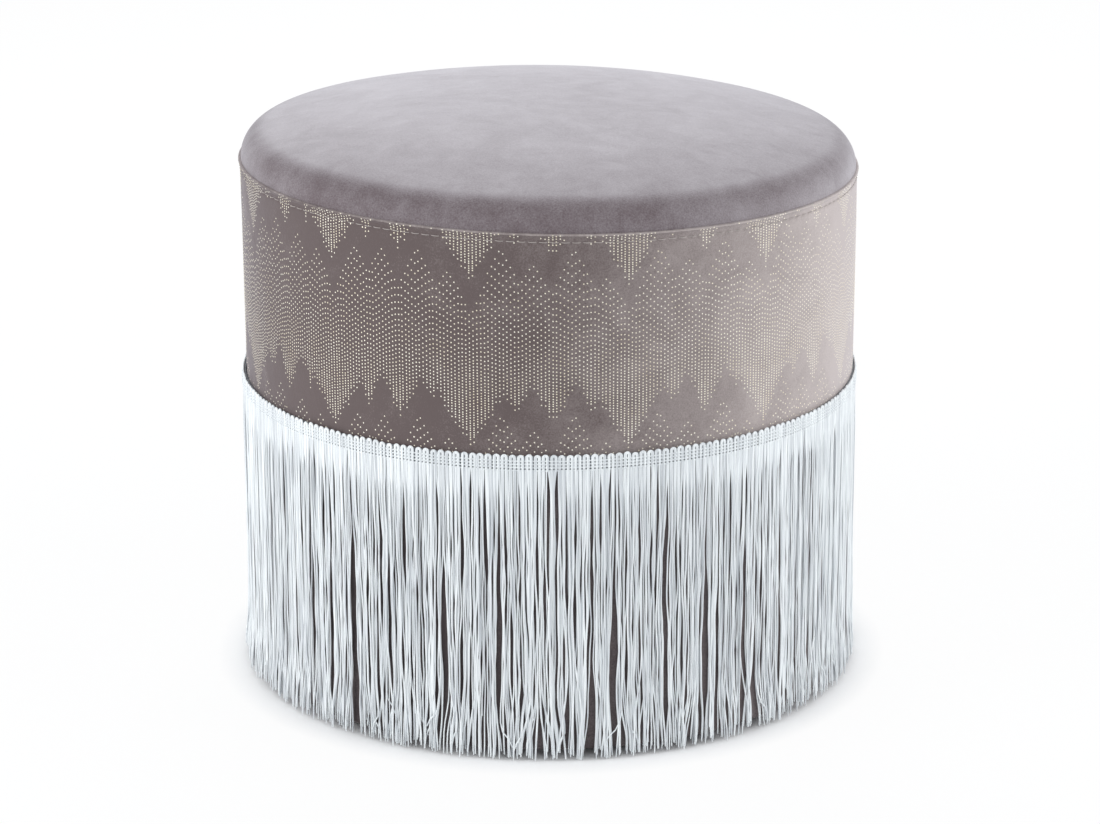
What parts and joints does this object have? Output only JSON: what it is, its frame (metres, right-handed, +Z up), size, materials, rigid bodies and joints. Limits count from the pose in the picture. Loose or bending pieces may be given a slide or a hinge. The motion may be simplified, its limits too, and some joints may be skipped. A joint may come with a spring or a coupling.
{
  "type": "tuffet",
  "caption": "Round drum tuffet with a crowned padded seat, a printed velvet band and a long white fringe that hangs to the floor.",
  "frame": {"origin": "on the floor, under the centre of the drum", "axes": "+Z up along the drum's axis; -Y faces the picture's camera, so the wall's butt joint is at +Y"},
  "size_m": [0.407, 0.407, 0.3778],
  "materials": {
    "seat_velvet": "short-pile velvet, soft sheen, mottled nap",
    "printed_velvet": "short-pile velvet with rows of small pale gold foil dots",
    "plain_velvet": "short-pile velvet, plain",
    "fringe_yarn": "smooth viscose yarn, cool white",
    "plywood": "sanded birch plywood",
    "pine": "planed pine",
    "hardboard": "smooth brown hardboard",
    "foam": "open-cell upholstery foam",
    "dust_cloth": "thin black non-woven cloth",
    "glide_plastic": "moulded black plastic",
    "staple_wire": "drawn galvanised wire"
  },
  "bodies": {
    "root": {"base_board": "plywood", "seat_board": "plywood", "post_1": "pine", "post_2": "pine", "post_3": "pine", "post_4": "pine", "base_staples": "staple_wire", "seat_staples": "staple_wire", "wall_panel": "hardboard", "wall_joint_strip": "plywood", "side_foam": "foam", "seat_foam": "foam", "seat_cover": "seat_velvet", "printed_band": "printed_velvet", "plain_band": "plain_velvet", "fringe_tape": "fringe_yarn", "fringe_loops": "fringe_yarn", "fringe_strands": "fringe_yarn", "dust_cover": "dust_cloth", "glide_1": "glide_plastic", "glide_2": "glide_plastic", "glide_3": "glide_plastic", "glide_4": "glide_plastic"}
  },
  "joints": []
}
